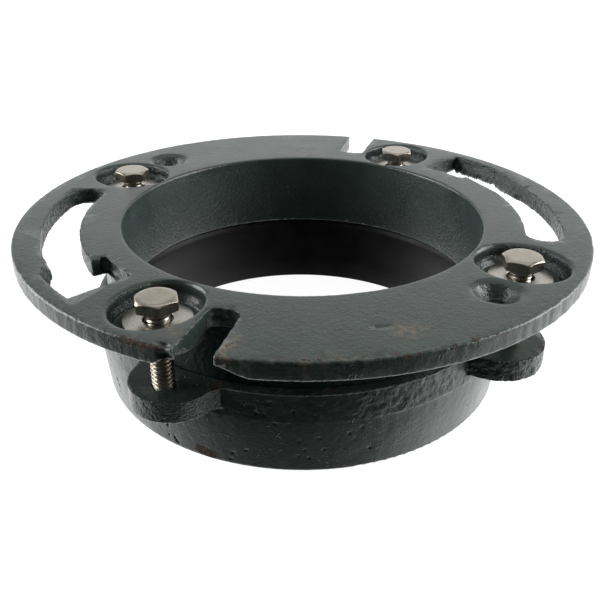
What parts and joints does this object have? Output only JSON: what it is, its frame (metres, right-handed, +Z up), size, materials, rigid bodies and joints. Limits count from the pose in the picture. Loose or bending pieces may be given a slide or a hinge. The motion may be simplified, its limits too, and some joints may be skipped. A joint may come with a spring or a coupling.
{
  "type": "toilet flange",
  "caption": "Cast-iron closet flange that clamps on a 4 inch soil pipe: a slotted flange ring draws a follower ring up on hex bolts to squeeze a rubber gasket.",
  "frame": {"origin": "centre of the follower ring's bottom face, on the pipe's axis", "axes": "+Z up along the pipe towards the toilet; +X through the middle of one closet-bolt slot; the clamp bolts stand on the diagonals"},
  "size_m": [0.1778, 0.1778, 0.0528],
  "materials": {
    "painted_iron": "dark grey-green paint over sand-cast iron, satin, with rust at the chipped edges",
    "gasket_rubber": "smooth black moulded rubber, soft sheen",
    "stainless_steel": "plain stainless steel, lightly tarnished"
  },
  "bodies": {
    "follower": {"compression_ring": "painted_iron", "gasket": "gasket_rubber"},
    "flange": {"upper_flange": "painted_iron"},
    "bolt_1": {"clamp_bolt_1": "stainless_steel"},
    "washer_1": {"washer_1": "stainless_steel"},
    "bolt_2": {"clamp_bolt_2": "stainless_steel"},
    "washer_2": {"washer_2": "stainless_steel"},
    "bolt_3": {"clamp_bolt_3": "stainless_steel"},
    "washer_3": {"washer_3": "stainless_steel"},
    "bolt_4": {"clamp_bolt_4": "stainless_steel"},
    "washer_4": {"washer_4": "stainless_steel"}
  },
  "joints": [
    {"name": "flange_clamp", "type": "slide", "parent": "follower", "child": "flange", "axis": [0, 0, -1], "range_m": [0, 0.006], "deforming": ["gasket"]},
    {"name": "clamp_bolt_1_turn", "type": "hinge", "parent": "flange", "child": "bolt_1", "pos_m": [0.05063, 0.05063, 0.0494], "axis": [0, 0, -1], "range_deg": [0, 1704.8]},
    {"name": "washer_1_lift", "type": "slide", "parent": "flange", "child": "washer_1", "axis": [0, 0, 1], "range_m": [0, 0.0027]},
    {"name": "clamp_bolt_2_turn", "type": "hinge", "parent": "flange", "child": "bolt_2", "pos_m": [-0.05063, 0.05063, 0.0494], "axis": [0, 0, -1], "range_deg": [0, 1704.8]},
    {"name": "washer_2_lift", "type": "slide", "parent": "flange", "child": "washer_2", "axis": [0, 0, 1], "range_m": [0, 0.0027]},
    {"name": "clamp_bolt_3_turn", "type": "hinge", "parent": "flange", "child": "bolt_3", "pos_m": [-0.05063, -0.05063, 0.0494], "axis": [0, 0, -1], "range_deg": [0, 1704.8]},
    {"name": "washer_3_lift", "type": "slide", "parent": "flange", "child": "washer_3", "axis": [0, 0, 1], "range_m": [0, 0.0027]},
    {"name": "clamp_bolt_4_turn", "type": "hinge", "parent": "flange", "child": "bolt_4", "pos_m": [0.05063, -0.05063, 0.0494], "axis": [0, 0, -1], "range_deg": [0, 1704.8]},
    {"name": "washer_4_lift", "type": "slide", "parent": "flange", "child": "washer_4", "axis": [0, 0, 1], "range_m": [0, 0.0027]}
  ],
  "couplings": [
    {"joint": "clamp_bolt_1_turn", "follows": "flange_clamp", "rad_per_m": 4947.4},
    {"joint": "clamp_bolt_2_turn", "follows": "flange_clamp", "rad_per_m": 4947.4},
    {"joint": "clamp_bolt_3_turn", "follows": "flange_clamp", "rad_per_m": 4947.4},
    {"joint": "clamp_bolt_4_turn", "follows": "flange_clamp", "rad_per_m": 4947.4}
  ]
}
